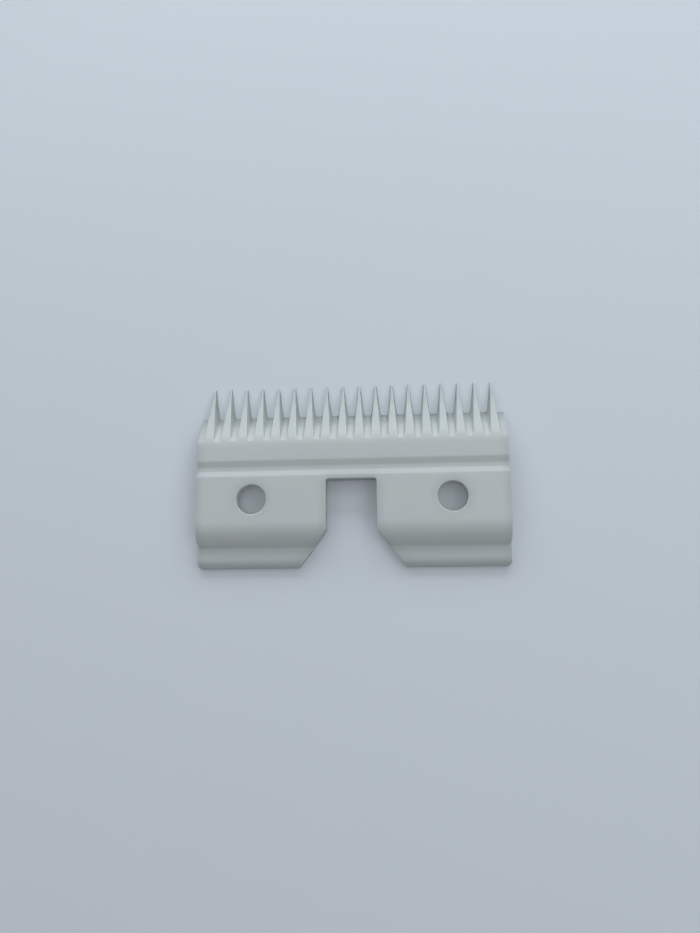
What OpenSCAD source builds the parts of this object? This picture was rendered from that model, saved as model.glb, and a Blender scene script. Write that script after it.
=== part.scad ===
// Moving cutter of a detachable animal clipper head, sintered in one piece of white ceramic:
// a comb of tapered teeth, a rounded ridge, a groove, a platform with two holes, a drive notch
// that is open to the rear, and a low rail along the rear edge.
// It lies on its cutting face, with the tooth tips towards +Y and the two ends at -X and +X.

/* [Teeth] */
// Number of teeth
tooth_count = 18; // [8:2:30]
// Distance from the middle of one tooth to the middle of the next
tooth_pitch = 2.75; // [2.5:0.05:4]
// Width of a tooth tip, on the cutting face
tip_w = 0.27; // [0.22:0.01:0.6]
// Height of the blunt nose of a tooth tip
tip_h = 0.35; // [0.2:0.01:0.5]
// Slope of the tooth crests over the cutting face, in degrees
crest_slope = 18.6; // [15:0.2:24]
// Distance from the tips back to the gullet roots, on the cutting face
gullet_d = 5.1; // [4:0.1:6]
// Width of a gullet at its root
root_w = 1.1; // [0.7:0.05:1.4]
// Radius of the two corners of a gullet root
root_r = 0.35; // [0.1:0.05:0.45]
// Slope of the gullet floors over the cutting face, in degrees
gullet_slope = 37; // [32:1:50]
// Shelf from the middle of the last, half gullet to the end of the blade
end_shelf = 0.55; // [0.4:0.05:3]

/* [Ridge and groove] */
// Height of the ridge over the cutting face
ridge_h = 3.6; // [3.2:0.1:4.6]
// Radius that rounds the crests over into the ridge
ridge_r = 7; // [1:0.5:10]
// Distance from the front corner of the ridge to its rear corner
ridge_d = 3.45; // [3:0.05:6]
// Drop from the ridge down to the floor of the groove
groove_drop = 0.42; // [0.3:0.02:0.9]
// Slope of the groove wall behind the ridge, in degrees
groove_slope = 23; // [20:1:50]
// Width of the groove floor between the corners of its walls
groove_w = 0.7; // [0.3:0.05:2]
// Radius of the corners of the ridge, the groove and the front of the platform
groove_r = 0.7; // [0.1:0.05:0.9]

/* [Platform and rail] */
// Height of the platform over the cutting face
platform_h = 3.45; // [3:0.05:4.4]
// Slope of the riser in front of the platform, in degrees
riser_slope = 17; // [15:1:60]
// Distance from the front corner of the platform to its rear corner
platform_d = 9.7; // [8:0.1:14]
// Radius of the four corners of the platform, seen from above
platform_r = 1.3; // [0.3:0.1:1.8]
// Slope of the back of the platform, in degrees
back_slope = 50; // [40:1:70]
// Radius that rounds the platform over into its back
back_r = 5; // [0.5:0.1:6]
// Radius of the inner corner between the back of the platform and the rail
back_foot_r = 0.4; // [0.1:0.05:0.6]
// Height of the rail over the cutting face
rail_h = 1.4; // [1.3:0.05:2.2]
// Distance from the inner corner of the rail to the rear edge
rail_d = 3.4; // [3:0.1:6]
// Distance from the corner of the rear slope to the rear edge
rear_slope_d = 1.05; // [0.5:0.05:1.5]
// Slope along the rear edge of the rail, in degrees
rear_slope = 30; // [15:1:35]
// Radius that rounds the rail over into its rear slope
rail_r = 2.2; // [0.5:0.1:3]
// Radius of the upper edge of the rear wall
rear_edge_r = 0.3; // [0.1:0.05:0.5]
// Radius of the rear corners, seen from above
rear_corner_r = 0.8; // [0.2:0.1:2]

/* [Underside] */
// Depth of the lapped cutting face, from the tooth tips back
land_d = 11.2; // [9:0.1:13]
// Depth of the foot under the rail, from the rear edge forward
foot_d = 4.4; // [3:0.1:6]
// Height of the shallow relief between the cutting face and the foot
relief_h = 0.85; // [0.3:0.05:0.9]

/* [Holes and drive notch] */
// Diameter of the two holes through the platform
hole_dia = 4.9; // [3:0.1:6]
// Distance between the middles of the two holes
hole_spacing = 32.4; // [26:0.1:36]
// Distance from the front corner of the platform back to the middles of the holes
hole_setback = 3.76; // [3.4:0.01:5]
// Distance from the front corner of the platform back to the front wall of the notch
notch_setback = 0.62; // [0.4:0.01:1.5]
// Width of the drive notch
notch_w = 8.2; // [5:0.1:12]
// Length of the straight sides of the notch
throat_d = 8.2; // [6:0.1:9]
// Width of the notch where its flare meets the rear edge
flare_w = 17.3; // [12.5:0.1:20]
// Radius of the front corners of the notch
notch_r = 0.4; // [0.1:0.1:2]
// Radius of the corners where the notch flares out and meets the rear edge
flare_r = 0.6; // [0.1:0.1:1]

/* [Hidden] */
// How far the cutting shapes run past the faces that they cut
past = 1;
// A round stretch has facets that turn by this many degrees, or by more on a small radius,
// where they still cut no deeper than this inside the true arc
facet_turn = 4;
facet_sag = 0.002;
// How far in front of its foot the rounded corner of the platform begins
corner_lead = 0.15;

// The comb sets the width, and each end has a half gullet and its shelf
comb_w = tooth_count * tooth_pitch;
blade_w = comb_w + 2 * end_shelf;

// Stations of the side profile, as distances back from the tooth tips
ridge_front = (ridge_h - tip_h) / tan(crest_slope);
ridge_back = ridge_front + ridge_d;
groove_h = ridge_h - groove_drop;
groove_front = ridge_back + groove_drop / tan(groove_slope);
groove_back = groove_front + groove_w;
platform_front = groove_back + abs(platform_h - groove_h) / tan(riser_slope);
platform_back = platform_front + platform_d;
rail_front = platform_back + (platform_h - rail_h) / tan(back_slope);
blade_d = rail_front + rail_d;
rear_wall_h = rail_h - rear_slope_d * tan(rear_slope);

// Lines where the riser and the back of the platform leave the flat floors at their feet
riser_foot = groove_back - groove_r * tan(riser_slope / 2);
back_foot = rail_front + back_foot_r * tan(back_slope / 2);

// The holes and the notch are set out from the front corner of the platform
hole_back = platform_front + hole_setback;
notch_front = platform_front + notch_setback;
flare_front = notch_front + throat_d;
flare_spread = (flare_w - notch_w) / 2 / (blade_d - flare_front);

// A gullet is a tapered slot, swept up and back along the slope of its floor
gullet_taper = (tooth_pitch - tip_w - root_w) / 2 / gullet_d;
slot_top = (gullet_d + past) * sin(gullet_slope) + tip_h * cos(gullet_slope);
slot_top_w = root_w + 2 * gullet_taper * slot_top / sin(gullet_slope);

// Outline from a list of corners, each [x, y, radius]
function rounded(corners) = [for (i = [0:len(corners) - 1]) each corner_points(corners, i)];
function corner_at(corners, i) =
    let (c = corners[(i + len(corners)) % len(corners)]) [c[0], c[1]];
function heading(corners, i) =
    let (step = corner_at(corners, i + 1) - corner_at(corners, i)) step / norm(step);
function corner_turn(corners, i) =
    acos(max(-1, min(1, heading(corners, i - 1) * heading(corners, i))));
// Length of a side that the radius of a corner takes up
function corner_reach(corners, i) =
    corners[(i + len(corners)) % len(corners)][2] * tan(corner_turn(corners, i) / 2);
// Share of its radius that a corner keeps where the next corner leaves it less room
function side_share(corners, i) =
    let (length = norm(corner_at(corners, i + 1) - corner_at(corners, i)))
    let (taken = corner_reach(corners, i) + corner_reach(corners, i + 1))
    taken > length ? length / taken : 1;
function corner_points(corners, i) =
    let (turn = corner_turn(corners, i), p = corner_at(corners, i))
    let (share = min(side_share(corners, i - 1), side_share(corners, i)))
    let (reach = corner_reach(corners, i) * share, a = heading(corners, i - 1))
    reach == 0 ? [p] :
    let (side = sign(cross(a, heading(corners, i))), r = reach / tan(turn / 2))
    let (centre = p - reach * a + side * r * [-a.y, a.x])
    let (steps = ceil(turn / max(facet_turn, 2 * acos(1 - facet_sag / r))))
    [for (k = [0:steps])
        let (t = side * turn * k / steps)
        centre - side * r * [-a.y * cos(t) - a.x * sin(t), a.x * cos(t) - a.y * sin(t)]];

// Places what is drawn as [distance back from the tips, height] along the whole width
module across() {
    translate([-blade_w / 2, blade_d / 2, 0]) rotate([90, 0, 90]) mirror([1, 0, 0])
        linear_extrude(blade_w) children();
}

// Places what is drawn as [x, distance back from the tips] through the blade
module through(from_z = -past) {
    translate([0, blade_d / 2, from_z]) mirror([0, 1, 0])
        linear_extrude(ridge_h + past - from_z) children();
}

// Places the section of a gullet on its root and sweeps it up and back along its floor
module along_floor(x) {
    low = slot_top * cos(gullet_slope) + past;
    high = ridge_h + past;
    translate([x, blade_d / 2 - gullet_d, 0]) rotate([90 - gullet_slope, 0, 0])
        translate([0, 0, -low / sin(gullet_slope)])
            linear_extrude((low + high) / sin(gullet_slope)) children();
}

module side_profile() {
    polygon(rounded([
        [0, 0, 0],
        [0, tip_h, 0],
        [ridge_front, ridge_h, ridge_r],
        [ridge_back, ridge_h, groove_r],
        [groove_front, groove_h, groove_r],
        [groove_back, groove_h, groove_r],
        [platform_front, platform_h, groove_r],
        [platform_back, platform_h, back_r],
        [rail_front, rail_h, back_foot_r],
        [blade_d - rear_slope_d, rail_h, rail_r],
        [blade_d, rear_wall_h, rear_edge_r],
        [blade_d, 0, 0],
        [blade_d - foot_d, 0, 0],
        [blade_d - foot_d - relief_h, relief_h, 0],
        [land_d + relief_h, relief_h, 0],
        [land_d, 0, 0]
    ]));
}

module gullet_section() {
    polygon(rounded([
        [-slot_top_w / 2, slot_top, 0],
        [-root_w / 2, 0, root_r],
        [root_w / 2, 0, root_r],
        [slot_top_w / 2, slot_top, 0]
    ]));
}

// At an end of the comb the gullet is open, and its floor runs out to the end of the blade
module end_gullet_section() {
    polygon(rounded([
        [-slot_top_w / 2, slot_top, 0],
        [-root_w / 2, 0, root_r],
        [end_shelf + past, 0, 0],
        [end_shelf + past, slot_top, 0]
    ]));
}

module gullets() {
    for (i = [1:tooth_count - 1])
        along_floor((i - tooth_count / 2) * tooth_pitch) gullet_section();
    for (end = [0, 1])
        mirror([end, 0, 0]) along_floor(comb_w / 2) end_gullet_section();
}

// The notch takes the drive finger of the clipper and flares out to let it in from the rear
module drive_notch() {
    half = notch_w / 2;
    mouth = flare_w / 2;
    spread = flare_spread * past;
    through() polygon(rounded([
        [-half, notch_front, notch_r],
        [half, notch_front, notch_r],
        [half, flare_front, flare_r],
        [mouth + spread, blade_d + past, 0],
        [-mouth - spread, blade_d + past, 0],
        [-half, flare_front, flare_r]
    ]));
}

module screw_holes() {
    for (side = [-1, 1])
        translate([side * hole_spacing / 2, blade_d / 2 - hole_back, -past])
            cylinder(d = hole_dia, h = platform_h + 2 * past, $fn = 96);
}

// Rounds a vertical edge at both ends of the blade, from a floor up. The edge lies at a
// distance back from the tips, facing is 1 where it faces the tips and -1 where it faces
// the rear, and what is cut reaches by overrun over the floor in front of it.
module end_corners(edge, facing, r, floor_h = -past, overrun = past) {
    for (end = [0, 1])
        mirror([end, 0, 0])
            translate([blade_w / 2 - r, blade_d / 2 - edge - facing * r, floor_h])
            mirror([0, (1 - facing) / 2, 0])
            difference() {
                cube([r + past, r + overrun, ridge_h + 2 * past]);
                translate([0, 0, -past]) cylinder(r = r, h = ridge_h + 4 * past, $fn = 96);
            }
}

module cutter_blade() {
    color([0.94, 0.94, 0.92]) difference() {
        across() side_profile();
        gullets();
        drive_notch();
        screw_holes();
        end_corners(riser_foot - corner_lead, 1, platform_r, groove_h, groove_w / 4);
        end_corners(back_foot + corner_lead, -1, platform_r, rail_h);
        end_corners(blade_d, -1, rear_corner_r);
    }
}

cutter_blade();
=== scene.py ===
# %% [markdown]
# # A ceramic clipper cutter
# One piece of white ceramic: a comb of 18 tapered teeth, a ridge and a groove behind them, a
# platform with two holes and a drive notch, and a low rail along the rear edge. The exact solid
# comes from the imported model. This lesson gives it what a pressed and fired part has and an exact
# solid lacks: broken edges, a satin skin with a little depth, lapped faces underneath, and soft
# light that shows them. The teeth point along +Y, and the cutting face lies on the floor at Z = 0.

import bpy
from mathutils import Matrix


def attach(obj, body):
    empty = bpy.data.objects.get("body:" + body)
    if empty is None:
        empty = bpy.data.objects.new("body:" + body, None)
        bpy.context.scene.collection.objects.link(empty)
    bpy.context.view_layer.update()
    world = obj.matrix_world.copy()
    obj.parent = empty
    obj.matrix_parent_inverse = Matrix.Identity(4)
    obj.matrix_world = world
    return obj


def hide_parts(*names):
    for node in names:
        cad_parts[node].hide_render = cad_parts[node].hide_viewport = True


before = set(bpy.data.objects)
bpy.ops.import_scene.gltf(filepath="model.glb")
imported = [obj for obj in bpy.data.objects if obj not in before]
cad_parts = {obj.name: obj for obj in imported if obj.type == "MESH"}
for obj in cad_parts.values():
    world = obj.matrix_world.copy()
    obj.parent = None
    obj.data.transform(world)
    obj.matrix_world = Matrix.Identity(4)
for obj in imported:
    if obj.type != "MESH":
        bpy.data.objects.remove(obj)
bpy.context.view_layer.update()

# %% [markdown]
# ## Units and tools
# Blender works in metres here. The blade is 50 mm wide and its rounds are less than a tenth of a
# millimetre, so its lengths are written in millimetres and turned into metres by MM. The floor and
# the lamps are large, and stay in metres.

# %% Units and tools
import math

import bmesh
import bpy
from mathutils import Vector
from mathutils.bvhtree import BVHTree
from mathutils.geometry import intersect_point_line

MM = 0.001
scene = bpy.context.scene
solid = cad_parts["cutter_blade"]
print("solid has", len(solid.data.polygons), "triangles")

# %% [markdown]
# ## A copy to work on
# The solid arrives as a few thousand triangles and stays as it is, so the work starts on a copy.
# Its triangles will be merged into flat faces, but the platform has two round holes in it, and one
# face can't hold a hole. So the blade is first cut through the middle of both holes, and each hole
# becomes two half rounds on the rim of a face. The cuts are marked as seams, to be kept.

# %% Copy the solid and cut it through the holes
WELD = 0.008 * MM
SLIVER = WELD / 8
CUT_REACH = WELD / 4
HOLE_MIDDLE = 16.2 * MM

blade_mesh = bmesh.new()
blade_mesh.from_mesh(solid.data)
bmesh.ops.remove_doubles(blade_mesh, verts=blade_mesh.verts, dist=WELD)
bmesh.ops.dissolve_degenerate(blade_mesh, edges=blade_mesh.edges, dist=SLIVER)
for middle in (-HOLE_MIDDLE, HOLE_MIDDLE):
    parts = blade_mesh.verts[:] + blade_mesh.edges[:] + blade_mesh.faces[:]
    cut = bmesh.ops.bisect_plane(
        blade_mesh, geom=parts, dist=CUT_REACH, plane_co=(middle, 0, 0), plane_no=(1, 0, 0)
    )
    for piece in cut["geom_cut"]:
        if isinstance(piece, bmesh.types.BMEdge):
            piece.seam = True
print(len(blade_mesh.faces), "faces after the two cuts")

# %% [markdown]
# ## Flat faces from triangles
# A bevel works along the edges of real faces, so the triangles are merged back into the flat faces
# that they were cut from. The planar mode of the Decimate modifier does that to a finished object.
# This mesh is still being made, so the mesh tool behind it is called directly.

# %% Merge the triangles into flat faces
FLAT_TURN = math.radians(1.5)

bmesh.ops.dissolve_limit(
    blade_mesh, angle_limit=FLAT_TURN, verts=blade_mesh.verts, edges=blade_mesh.edges,
    delimit={"SEAM"},
)
for edge in blade_mesh.edges:
    edge.seam = False
print("merged into", len(blade_mesh.faces), "flat faces")

# %% [markdown]
# ## Which edges are rounded
# A pressed and fired part has no knife-sharp outer edge: the tool and the tumbling drum leave a
# round of a few hundredths of a millimetre, and that thin round is what catches the light along
# each tooth. A bump in the material could fake it, but the outline and the exported mesh would
# stay sharp, so it is made in the mesh. Where a wall runs out to nothing, as at the foot of the
# platform's round corners, a full round would fold over itself. So each edge gets a weight from
# 0 to 1, by the room there is between it and the nearest inner corner.

# %% Weigh the outer edges
EDGE_ROUND = 0.06 * MM
OUTER_TURN = math.radians(22)
INNER_TURN = math.radians(15)
ROOM_FOR_FULL = 2.5 * EDGE_ROUND
LEAST_WEIGHT = 0.5


def is_outer(edge):
    return edge.is_convex and edge.calc_face_angle(0) > OUTER_TURN


def is_inner(edge):
    return not edge.is_convex and edge.calc_face_angle(0) > INNER_TURN


def distance_to_edge(point, edge):
    start, end = (corner.co for corner in edge.verts)
    along = intersect_point_line(point, start, end)[1]
    return (point - start.lerp(end, min(1, max(0, along)))).length


weight = blade_mesh.edges.layers.float.new("bevel_weight_edge")
outer_edges = [edge for edge in blade_mesh.edges if is_outer(edge)]
inner_edges = [edge for edge in blade_mesh.edges if is_inner(edge)]
for edge in outer_edges:
    middle = (edge.verts[0].co + edge.verts[1].co) / 2
    room = min(distance_to_edge(middle, inner) for inner in inner_edges)
    share = min(1, room / ROOM_FOR_FULL)
    edge[weight] = share if share >= LEAST_WEIGHT else 0
full = sum(1 for edge in outer_edges if edge[weight] == 1)
print(len(outer_edges), "outer edges,", full, "with the full round")

# %% [markdown]
# ## The rounds
# The Bevel modifier reads the weights. Its width is measured across the round, and sliding along
# the neighbouring edges is off, because the slivers of a curved wall meet the edge at a slant and
# would pull the round out of line. Then the result is checked: the mesh is searched for triangles
# that pass through each other, and if there are any, the few edges beside them stay sharp. To
# halve their weight instead would keep more of the round, but each change of width along an edge
# starts a new fold.

# %% Round and check
ROUND_STEPS = 3
ROUND_WIDTH = EDGE_ROUND * math.sqrt(2)
NEAR_FOLD = 2 * EDGE_ROUND
MOST_TRIES = 12


def rounded_copy(weighted):
    sharp_data = bpy.data.meshes.new("sharp_blade")
    weighted.to_mesh(sharp_data)
    holder = bpy.data.objects.new("sharp_blade", sharp_data)
    scene.collection.objects.link(holder)
    bevel = holder.modifiers.new("edge rounds", "BEVEL")
    bevel.limit_method = "WEIGHT"
    bevel.offset_type = "WIDTH"
    bevel.width = ROUND_WIDTH
    bevel.segments = ROUND_STEPS
    bevel.use_clamp_overlap = False
    bevel.loop_slide = False
    seen = holder.evaluated_get(bpy.context.evaluated_depsgraph_get())
    rounded = bmesh.new()
    rounded.from_mesh(seen.data)
    bpy.data.objects.remove(holder)
    bpy.data.meshes.remove(sharp_data)
    return rounded


def folds(mesh):
    """Give the middles of the triangles that pass through each other."""
    flat = mesh.copy()
    bmesh.ops.triangulate(flat, faces=flat.faces)
    flat.faces.ensure_lookup_table()
    tree = BVHTree.FromBMesh(flat, epsilon=0)
    places = []
    for first, second in tree.overlap(tree):
        if first < second:
            pair = flat.faces[first], flat.faces[second]
            if not set(pair[0].verts) & set(pair[1].verts):
                places += [face.calc_center_median() for face in pair]
    flat.free()
    return places


for attempt in range(MOST_TRIES):
    rounded_mesh = rounded_copy(blade_mesh)
    crossing = folds(rounded_mesh)
    print("try", attempt + 1, "has", len(crossing), "folded triangles")
    if not crossing:
        break
    for edge in outer_edges:
        if any(distance_to_edge(place, edge) < NEAR_FOLD for place in crossing):
            edge[weight] = 0
else:
    print("some folds are left after", MOST_TRIES, "tries")
blade_mesh.free()

# %% [markdown]
# ## The blade
# Smooth shading runs over the rounds, and would run over the inner corners too and blur them. So
# the edges that still turn sharply are marked sharp, and the Weighted Normal modifier, told to
# keep them, lets the large flat faces stay flat right up to their rounds.

# %% Make the blade
STILL_SHARP = math.radians(50)

for face in rounded_mesh.faces:
    face.smooth = True
for edge in rounded_mesh.edges:
    limit = STILL_SHARP if edge.is_convex else INNER_TURN
    edge.smooth = edge.calc_face_angle(0) < limit
blade_data = bpy.data.meshes.new("blade")
rounded_mesh.to_mesh(blade_data)
volume = rounded_mesh.calc_volume() / MM**3
open_edges = sum(1 for edge in rounded_mesh.edges if not edge.is_manifold)
rounded_mesh.free()
blade = bpy.data.objects.new("blade", blade_data)
scene.collection.objects.link(blade)
flat_faces = blade.modifiers.new("flat faces stay flat", "WEIGHTED_NORMAL")
flat_faces.keep_sharp = True
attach(blade, "root")
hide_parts("cutter_blade")
print(len(blade_data.polygons), "faces,", open_edges, "open edges,", round(volume, 1), "mm3")

# %% [markdown]
# ## White ceramic
# A fired ceramic of this kind is an off-white that leans faintly to green. It has a satin skin,
# because the grains of the pressed powder never melt flat, and light goes a little way into it,
# which softens every shade. A single colour with one roughness would look like paint. So the
# material is built in layers, each at its real size: faint clouds from the firing, painted shade
# that makes thin places a greyer white, burnished edges with a painted highlight, a few pores with
# painted shade in them, fine grain, and the lapped faces underneath.
# What is the same all over is set on the shader's own sockets: the index of refraction, between
# those of alumina and zirconia, and how deep light goes, with red light the deepest.

# %% Start the ceramic
REFRACTION_INDEX = 1.9
SHARE_THAT_ENTERS = 1.0
LIGHT_DEPTH = 1.3 * MM
DEPTH_BY_COLOUR = (1.0, 0.92, 0.8)

ceramic = bpy.data.materials.new("white_ceramic")
ceramic.use_nodes = True
ceramic_tree = ceramic.node_tree
skin = ceramic_tree.nodes["Principled BSDF"]
skin.inputs["IOR"].default_value = REFRACTION_INDEX
skin.inputs["Subsurface Weight"].default_value = SHARE_THAT_ENTERS
skin.inputs["Subsurface Scale"].default_value = LIGHT_DEPTH
skin.inputs["Subsurface Radius"].default_value = DEPTH_BY_COLOUR
blade_data.materials.append(ceramic)
print("light goes", round(LIGHT_DEPTH / MM, 2), "mm into the ceramic")

# %% [markdown]
# ## Small helpers for the layers
# Every layer adds a few nodes, names them by what they do, and joins them up. A few short helpers
# keep that readable: one adds a node with its label and its fixed settings, one joins two sockets,
# one goes between two values as a share goes from 0 to 1, one makes that share from a measure, one
# adds a noise of a real size, and one multiplies.

# %% Small helpers for the layers
def add(tree, kind, label, inputs=None, **settings):
    node = tree.nodes.new(kind)
    node.label = label
    for name, value in settings.items():
        setattr(node, name, value)
    for name, value in (inputs or {}).items():
        node.inputs[name].default_value = value
    return node


def join(output, entry):
    entry.id_data.links.new(output, entry)


def between(label, low, high, share, as_colour=False):
    """Go from low to high, each a value or another node's output, as share goes from 0 to 1."""
    kind = "RGBA" if as_colour else "FLOAT"
    node = add(share.id_data, "ShaderNodeMix", label, data_type=kind)
    for socket, end in (("A", low), ("B", high)):
        if isinstance(end, bpy.types.NodeSocket):
            join(end, node.inputs[socket])
        else:
            node.inputs[socket].default_value = end
    join(share, node.inputs["Factor"])
    return node.outputs["Result"]


def share_of(label, value, none, all_of_it):
    """Turn a value into a share: 0 at none, 1 at all_of_it, and held to that range."""
    ends = {"From Min": none, "From Max": all_of_it}
    node = add(value.id_data, "ShaderNodeMapRange", label, ends)
    join(value, node.inputs["Value"])
    return node.outputs["Result"]


def noise(label, place, size, detail):
    """Give a soft noise whose lumps are about as wide as size, in metres."""
    tree = place.id_data
    node = add(tree, "ShaderNodeTexNoise", label, {"Scale": 1 / size, "Detail": detail})
    join(place, node.inputs["Vector"])
    return node.outputs["Fac"]


def product(label, first, second):
    """Multiply an output by another output or by a value."""
    node = add(first.id_data, "ShaderNodeMath", label, operation="MULTIPLY")
    join(first, node.inputs[0])
    if isinstance(second, bpy.types.NodeSocket):
        join(second, node.inputs[1])
    else:
        node.inputs[1].default_value = second
    return node.outputs["Value"]


blade_place = add(ceramic_tree, "ShaderNodeTexCoord", "place on the blade")
on_blade = blade_place.outputs["Object"]
print("layers are placed by the blade's own", on_blade.name, "coordinates")

# %% [markdown]
# ## Clouds in the white
# Powder packs a little unevenly in the mould, and fires to faintly lighter and darker clouds some
# millimetres across. They could be painted, but paint has seams and one fixed sharpness. So they
# are two close whites, mixed by a broad soft noise. The difference is small on purpose: it is only
# seen when the blade is turned in the light.

# %% Clouds in the white
LIGHT_WHITE = (0.79, 0.815, 0.78, 1)
DEEP_WHITE = (0.757, 0.782, 0.747, 1)
CLOUD_SIZE = 4.5 * MM
CLOUD_DETAIL = 3

clouds = noise("clouds", on_blade, CLOUD_SIZE, CLOUD_DETAIL)
cloudy_white = between("cloudy white", DEEP_WHITE, LIGHT_WHITE, clouds, as_colour=True)
print("clouds", round(CLOUD_SIZE / MM, 2), "mm across")

# %% [markdown]
# ## Painted shade in thin places
# Light goes a millimetre or two into this ceramic before it turns back. Where the blade is thicker
# than that, all of it comes out again. The tooth tips, the roots of the gullets and the rail are
# thinner, and lose some of it on the far side, so they look greyer and cooler. Subsurface
# scattering hardly shows it in so pale a colour. So that shade is painted into the colour, as
# painted shade: the thickness is measured in the material, where rays go inwards from each point,
# and the share of them that meets no other wall within FULL_DEPTH tells how deep the ceramic is
# there. Where it is thin, the white is painted greyer and cooler.

# %% Painted shade in thin places
FULL_DEPTH = 1.7 * MM
# Painted shade: the greyer, cooler white that thin places are painted, for light lost through them.
THIN_PAINTED_SHADE = (0.53, 0.57, 0.555, 1)
DEPTH_RAYS = 16

depth = add(
    ceramic_tree, "ShaderNodeAmbientOcclusion", "depth of the ceramic", {"Distance": FULL_DEPTH},
    inside=True, only_local=True, samples=DEPTH_RAYS,
).outputs["AO"]
# Painted shade: the white goes over to that greyer white where the ceramic is thin.
white_with_painted_thin_shade = between("white with painted shade where thin", THIN_PAINTED_SHADE, cloudy_white, depth, as_colour=True)
print("full white from", round(FULL_DEPTH / MM, 2), "mm of ceramic")

# %% [markdown]
# ## Burnished edges, with a painted highlight
# Handling and the tumbling drum polish the edges first, so they are a little shinier than the
# faces. Their white is painted a little lighter as well, partly for the burnish and partly as a
# painted highlight, for the light that shows through the thin ceramic at an edge. The Pointiness
# of the Geometry node could find them, but it is only as fine as the mesh. The same kind of inward
# rays as before does it on any mesh, only much shorter: on a flat face none of them comes out
# again, and near an edge some do.

# %% Burnished edges and painted edge highlight
BURNISH_WIDTH = 0.18 * MM
# Partly painted highlight: the lighter white that the edges are painted, for burnish and for light
# through the thin ceramic there.
EDGE_WHITE_AND_PAINTED_HIGHLIGHT = (0.82, 0.845, 0.81, 1)
EDGE_STRENGTH = 0.75
EDGE_RAYS = 8
STAY_IN_ON_A_FACE = 1.0
STAY_IN_AT_AN_EDGE = 0.4

staying_in = add(
    ceramic_tree, "ShaderNodeAmbientOcclusion", "ceramic beside an edge",
    {"Distance": BURNISH_WIDTH}, inside=True, only_local=True, samples=EDGE_RAYS,
).outputs["AO"]
edge_share = share_of("share of edge", staying_in, STAY_IN_ON_A_FACE, STAY_IN_AT_AN_EDGE)
edge_touch = product("touch of edge", edge_share, EDGE_STRENGTH)
# Painted highlight, partly burnish: the edges go over to the lighter white.
white_with_painted_edge_highlight = between(
    "lighter at the edges: burnish and painted highlight", white_with_painted_thin_shade, EDGE_WHITE_AND_PAINTED_HIGHLIGHT, edge_touch, as_colour=True
)
print("edges burnished over", round(BURNISH_WIDTH / MM, 2), "mm")

# %% [markdown]
# ## Pores
# Here and there a grain was missing in the powder, and leaves a pore a few hundredths of a
# millimetre wide. The dark spots of a noise would be ragged and all of a kind. The points of a
# Voronoi texture do better: a pore is wherever the surface passes close by such a point, so they
# differ in size and lie scattered, as real ones do. Each is slightly sunk, and painted a shade
# darker, as painted shade for the shadow inside the little pit.

# %% Pores
PORE_SPACING = 0.55 * MM
PORE_RADIUS = 0.032 * MM
# Painted shade: the darker grey that each pore is painted, for the shadow in the pit.
PORE_PAINTED_SHADE = (0.50, 0.51, 0.48, 1)

pore_points = add(
    ceramic_tree, "ShaderNodeTexVoronoi", "pore points", {"Scale": 1 / PORE_SPACING}
)
join(on_blade, pore_points.inputs["Vector"])
pore_edge = PORE_RADIUS / PORE_SPACING
pore_share = share_of("share of pore", pore_points.outputs["Distance"], pore_edge, pore_edge / 2)
# Painted shade: each pore goes over to the darker grey.
white_with_painted_pore_shade = between(
    "painted shade in the pores", white_with_painted_edge_highlight, PORE_PAINTED_SHADE, pore_share, as_colour=True
)
join(white_with_painted_pore_shade, skin.inputs["Base Color"])
print("pores up to", round(2 * PORE_RADIUS / MM, 3), "mm wide")

# %% [markdown]
# ## Lapped faces
# The blade slides on the face under its teeth and on the foot under its rail. Both are ground
# flat after firing, so they are smoother than the rest. They could have a material of their own.
# But they are easily told from the rest, since they face straight down at Z = 0, and so one
# material serves the whole blade.

# %% Find the lapped faces
FACES_DOWN = -0.95
LAPPED_HEIGHT = 0.02 * MM


def is_below(label, direction, limit):
    """Give 1 where the Z of a place or of a direction is below the limit, and 0 elsewhere."""
    split = add(ceramic_tree, "ShaderNodeSeparateXYZ", label)
    join(direction, split.inputs["Vector"])
    test = add(ceramic_tree, "ShaderNodeMath", label, {1: limit}, operation="LESS_THAN")
    join(split.outputs["Z"], test.inputs[0])
    return test.outputs["Value"]


lapped = product(
    "lapped",
    is_below("lies at the bottom", on_blade, LAPPED_HEIGHT),
    is_below("faces down", blade_place.outputs["Normal"], FACES_DOWN),
)
print("lapped below", round(LAPPED_HEIGHT / MM, 2), "mm")

# %% [markdown]
# ## Lapping lines
# Lapping leaves fine lines along the stroke, which runs along X. Cut into the mesh they would take
# millions of faces, so they are a noise, stretched along X, that a bump will read. It is multiplied
# by the lapped share, so the rest of the blade gets none.

# %% Lapping lines
LINE_LENGTH = 3.0 * MM
LINE_WIDTH = 0.03 * MM
LINE_DETAIL = 2

stretch = add(
    ceramic_tree, "ShaderNodeMapping", "stretched along the stroke",
    {"Scale": (1 / LINE_LENGTH, 1 / LINE_WIDTH, 1 / LINE_WIDTH)},
)
join(on_blade, stretch.inputs["Vector"])
lap_lines = noise("lapping lines", stretch.outputs["Vector"], 1, LINE_DETAIL)
lap_height = product("lines on lapped faces", lap_lines, lapped)
print("lines", round(LINE_LENGTH / MM, 1), "mm long and", round(LINE_WIDTH / MM, 3), "mm wide")

# %% [markdown]
# ## Gloss
# The skin is neither matt nor shiny. One roughness all over would look like plastic, so a soft
# noise lets it wander between satin and nearly matt, in patches of about a millimetre, as the
# pressed powder packs. The edges are glossier, and the lapped faces most of all.

# %% Gloss
PATCH_SIZE = 1.2 * MM
PATCH_DETAIL = 3
SATIN = 0.36
NEARLY_MATT = 0.46
EDGE_GLOSS = 0.30
LAPPED_GLOSS = 0.20

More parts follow.
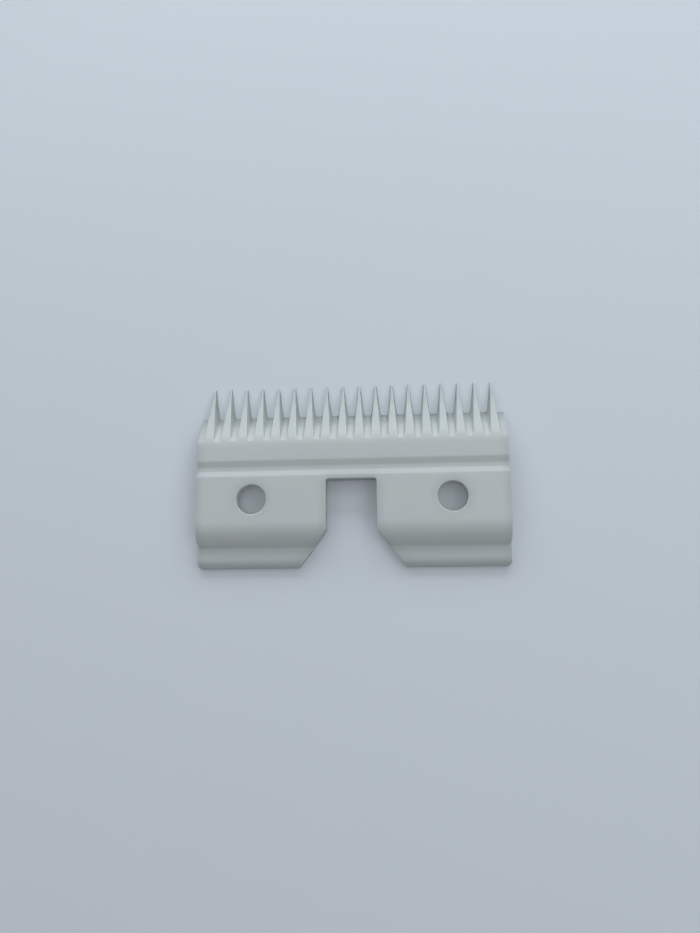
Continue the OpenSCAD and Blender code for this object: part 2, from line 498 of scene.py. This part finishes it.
patches = noise("smoother and rougher patches", on_blade, PATCH_SIZE, PATCH_DETAIL)
skin_gloss = between("satin to nearly matt", SATIN, NEARLY_MATT, patches)
edge_gloss = between("glossier at the edges", skin_gloss, EDGE_GLOSS, edge_touch)
lapped_gloss = between("glossiest where lapped", edge_gloss, LAPPED_GLOSS, lapped)
join(lapped_gloss, skin.inputs["Roughness"])
print("roughness from", LAPPED_GLOSS, "to", NEARLY_MATT)

# %% [markdown]
# ## Grain
# The grains of the ceramic are far too small to see, but they gather into humps some hundredths of
# a millimetre across, which break up every highlight. A fine noise drives that bump. The bumps of
# grain, pores and lapping lines are chained: each node takes the surface that the one before it
# has bent.

# %% Grain
GRAIN_SIZE = 0.07 * MM
GRAIN_DETAIL = 2
GRAIN_HEIGHT = 0.002 * MM
PORE_DEPTH = 0.008 * MM
LINE_HEIGHT = 0.0008 * MM


def bump(label, height, distance, before=None, sunk=False):
    node = add(ceramic_tree, "ShaderNodeBump", label, {"Distance": distance}, invert=sunk)
    join(height, node.inputs["Height"])
    if before:
        join(before, node.inputs["Normal"])
    return node.outputs["Normal"]


grain = noise("grain", on_blade, GRAIN_SIZE, GRAIN_DETAIL)
grained = bump("grain bump", grain, GRAIN_HEIGHT)
pored = bump("sunk pores", pore_share, PORE_DEPTH, grained, sunk=True)
lined = bump("lapping lines bump", lap_height, LINE_HEIGHT, pored)
join(lined, skin.inputs["Normal"])
print("grain", round(GRAIN_SIZE / MM, 3), "mm across and", round(GRAIN_HEIGHT / MM, 4), "mm high")

# %% [markdown]
# ## Room
# The world stands for the walls of a pale room. It gives a little light from everywhere, which
# keeps the deepest corners from going black. A picture of a real room would also do that, but its
# windows would show in the gloss. An even, faint light is enough.

# %% Light of the room
ROOM_LIGHT = (0.93, 1.0, 1.07, 1)
ROOM_STRENGTH = 0.11

world = bpy.data.worlds.new("pale_room")
scene.world = world
world.use_nodes = True
world_tree = world.node_tree
room = world_tree.nodes["Background"]
room.inputs["Color"].default_value = ROOM_LIGHT
room.inputs["Strength"].default_value = ROOM_STRENGTH
print("room light", ROOM_STRENGTH)

# %% [markdown]
# ## Backdrop
# Behind the blade stands a plain pale backdrop, brighter than the light of the room. To raise that
# light would wash out the shade on the blade. The Light Path node tells apart the rays that see
# and the light that bounces on, so the backdrop can be as pale as it likes and throws no more
# light on the blade.

# %% Backdrop for the camera and for reflections
BACKDROP = (0.50, 0.555, 0.61, 1)


def seen_directly(tree):
    """Give 1 for camera, glossy and transmission rays, and 0 for light that bounces on."""
    rays = add(tree, "ShaderNodeLightPath", "kind of ray")
    share = rays.outputs["Is Camera Ray"]
    for kind in ("Is Glossy Ray", "Is Transmission Ray"):
        either = add(tree, "ShaderNodeMath", "or " + kind, operation="MAXIMUM")
        join(share, either.inputs[0])
        join(rays.outputs[kind], either.inputs[1])
        share = either.outputs["Value"]
    return share


def either_shader(label, first, second, share):
    node = add(share.id_data, "ShaderNodeMixShader", label)
    join(share, node.inputs["Fac"])
    join(first, node.inputs[1])
    join(second, node.inputs[2])
    return node.outputs["Shader"]


backdrop = add(world_tree, "ShaderNodeBackground", "backdrop", {"Color": BACKDROP})
room_or_backdrop = either_shader(
    "room or backdrop",
    room.outputs["Background"], backdrop.outputs["Background"], seen_directly(world_tree),
)
join(room_or_backdrop, world_tree.nodes["World Output"].inputs["Surface"])
print("backdrop", BACKDROP[:3])

# %% [markdown]
# ## Floor
# The blade lies on a plain sheet of pale paper, large enough to fill every view. The paper starts
# two hundredths of a millimetre under the blade, so that the two surfaces don't flicker where they
# would touch.

# %% Floor
FLOOR_SIZE = 3.0
FLOOR_DROP = 0.02 * MM

half = FLOOR_SIZE / 2
floor_data = bpy.data.meshes.new("floor")
floor_data.from_pydata(
    [(x, y, -FLOOR_DROP) for x, y in ((-half, -half), (half, -half), (half, half), (-half, half))],
    [], [(0, 1, 2, 3)],
)
floor = bpy.data.objects.new("floor", floor_data)
scene.collection.objects.link(floor)
print("floor", FLOOR_SIZE, "m square")

# %% [markdown]
# ## Paper
# A white sheet would throw much light back up under the teeth and wash their shade out. So the
# paper too asks what kind of ray has met it. The camera and reflections see a pale, faintly
# mottled sheet, lifted a little by a glow of its own, and light that bounces on finds a grey.

# %% Paper
PALE_PAPER = (0.85, 0.89, 0.93, 1)
PAPER_SHADE = (0.835, 0.88, 0.92, 1)
BOUNCE_GREY = (0.16, 0.17, 0.18, 1)
PAPER_CLOUD = 9.0 * MM
PAPER_DETAIL = 2
PAPER_LIFT = 0.08
PAPER_ROUGHNESS = 0.9

paper = bpy.data.materials.new("pale_paper")
paper.use_nodes = True
paper_tree = paper.node_tree
floor_data.materials.append(paper)
sheet = paper_tree.nodes["Principled BSDF"]
sheet.inputs["Roughness"].default_value = PAPER_ROUGHNESS
sheet.inputs["Specular IOR Level"].default_value = 0.0
sheet.inputs["Emission Color"].default_value = PALE_PAPER
on_paper = add(paper_tree, "ShaderNodeTexCoord", "place on the paper").outputs["Object"]
paper_seen = seen_directly(paper_tree)
paper_clouds = noise("paper clouds", on_paper, PAPER_CLOUD, PAPER_DETAIL)
mottled = between("mottled paper", PAPER_SHADE, PALE_PAPER, paper_clouds, as_colour=True)
by_ray = between("grey for bounces", BOUNCE_GREY, mottled, paper_seen, as_colour=True)
join(by_ray, sheet.inputs["Base Color"])
join(product("lift", paper_seen, PAPER_LIFT), sheet.inputs["Emission Strength"])
print("paper", PALE_PAPER[:3], "and for bounces", BOUNCE_GREY[:3])

# %% [markdown]
# ## Sweep
# Far from the blade the lamps no longer reach the sheet, and a low view would end in a dark band
# under the horizon. A studio hangs its paper in a curve, a sweep, that has no horizon. Here the
# flat sheet passes softly into the colour of the backdrop with the distance, which looks the same
# and keeps the floor level.

# %% Sweep
SWEEP_START = 0.09
SWEEP_END = 0.20

distance = add(paper_tree, "ShaderNodeVectorMath", "distance", operation="LENGTH")
join(on_paper, distance.inputs[0])
far_off = share_of("far off", distance.outputs["Value"], SWEEP_START, SWEEP_END)
far_off.node.interpolation_type = "SMOOTHSTEP"
backdrop_look = add(paper_tree, "ShaderNodeEmission", "backdrop", {"Color": BACKDROP})
sheet_or_backdrop = either_shader(
    "sheet or backdrop",
    sheet.outputs["BSDF"], backdrop_look.outputs["Emission"],
    product("far off and seen directly", far_off, paper_seen),
)
join(sheet_or_backdrop, paper_tree.nodes["Material Output"].inputs["Surface"])
print("sheet meets the backdrop from", SWEEP_START, "to", SWEEP_END, "m")

# %% [markdown]
# ## Softboxes
# In the photograph soft cool light comes from beyond the teeth, as from a wide window: the tooth
# crests and the riser in front of the platform face it and are brightest, and the back of the
# platform turns away and is darkest. Wide softboxes do that, placed by azimuth (0 is beyond the
# teeth, towards +Y) and elevation, both in degrees. One of them is the window, and four weak ones
# fill the shade. Their powers were found by lighting the blade with one at a time, comparing the
# brightness of each slope with the photograph, and trimming them together. They are hidden from
# the camera, so none stands in a low view.

# %% Softboxes
LIGHT_DISTANCE = 0.40
WINDOW_TINT = (0.93, 1.0, 1.07)


def softbox(name, azimuth, elevation, width, height, power):
    turn = math.radians(azimuth)
    rise = math.radians(elevation)
    direction = Vector((
        math.sin(turn) * math.cos(rise), math.cos(turn) * math.cos(rise), math.sin(rise)
    ))
    light = bpy.data.lights.new(name, "AREA")
    light.shape = "RECTANGLE"
    light.size = width
    light.size_y = height
    light.energy = power
    light.color = WINDOW_TINT
    box = bpy.data.objects.new(name, light)
    box.location = direction * LIGHT_DISTANCE
    box.rotation_euler = (-direction).to_track_quat("-Z", "Y").to_euler()
    box.visible_camera = False
    scene.collection.objects.link(box)
    print(name, "at azimuth", azimuth, "and elevation", elevation, "gives", power, "W")


softbox("window", azimuth=0, elevation=25, width=0.72, height=0.15, power=1.00)
softbox("upper_window", azimuth=0, elevation=55, width=0.72, height=0.15, power=0.14)
softbox("rear_fill", azimuth=180, elevation=45, width=0.72, height=0.18, power=0.07)
softbox("left_fill", azimuth=-90, elevation=50, width=0.48, height=0.25, power=0.14)
softbox("right_fill", azimuth=90, elevation=50, width=0.48, height=0.25, power=0.31)

# %% [markdown]
# ## Camera
# The camera stands where the photograph was taken from, a little over ten centimetres above the
# blade, slightly towards its rail and to its right. Its place, turn and lens were found by fitting
# the outline, the holes and the tooth tips of the solid to the photograph. The picture is taller
# than it is wide, so Blender applies the sensor's 36 mm to its height.

# %% Camera
CAMERA_PLACE = Vector((6.8015, -17.7467, 106.329)) * MM
CAMERA_TURN = (10.16692, 3.94660, -0.55812)
SENSOR = 36
LENS = 25.0776
NEAREST_SEEN = 1 * MM

camera_data = bpy.data.cameras.new("camera")
camera_data.sensor_width = SENSOR
camera_data.lens = LENS
camera_data.clip_start = NEAREST_SEEN
camera = bpy.data.objects.new("camera", camera_data)
camera.location = CAMERA_PLACE
camera.rotation_euler = [math.radians(angle) for angle in CAMERA_TURN]
scene.collection.objects.link(camera)
scene.camera = camera
scene.view_settings.view_transform = "Standard"
print("camera", round(CAMERA_PLACE.length / MM, 1), "mm from the middle of the blade")
